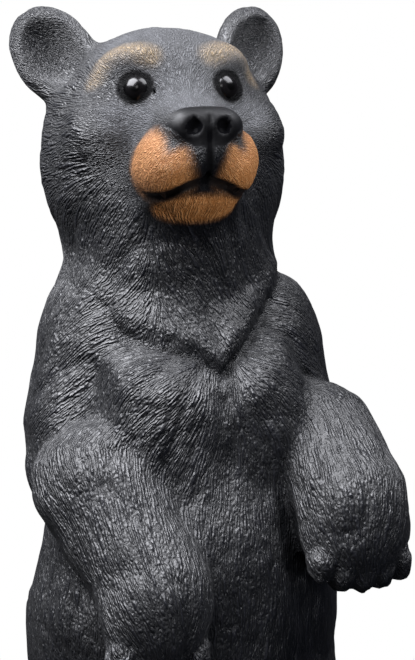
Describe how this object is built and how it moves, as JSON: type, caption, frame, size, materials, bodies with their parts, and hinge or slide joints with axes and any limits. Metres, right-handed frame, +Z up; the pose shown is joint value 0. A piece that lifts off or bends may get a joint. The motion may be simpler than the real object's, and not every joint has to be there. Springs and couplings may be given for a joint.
{
  "type": "bear statue",
  "caption": "Standing black bear statue in painted cast resin, forelegs hanging in front, glossy inset eyes, on a low oval base.",
  "frame": {"origin": "centre of the base's flat underside", "axes": "+Z up through the bear's head, the bear faces -Y, its left side is +X"},
  "size_m": [0.235, 0.225, 0.5023],
  "materials": {
    "bear_resin": "cast resin with carved fur, painted semi-gloss charcoal black, tan muzzle and brows",
    "eye_gloss": "glossy black eye",
    "base_resin": "cast resin, painted dark grey-brown earth"
  },
  "bodies": {
    "root": {"bear": "bear_resin", "eye_left": "eye_gloss", "eye_right": "eye_gloss", "base": "base_resin"}
  },
  "joints": []
}
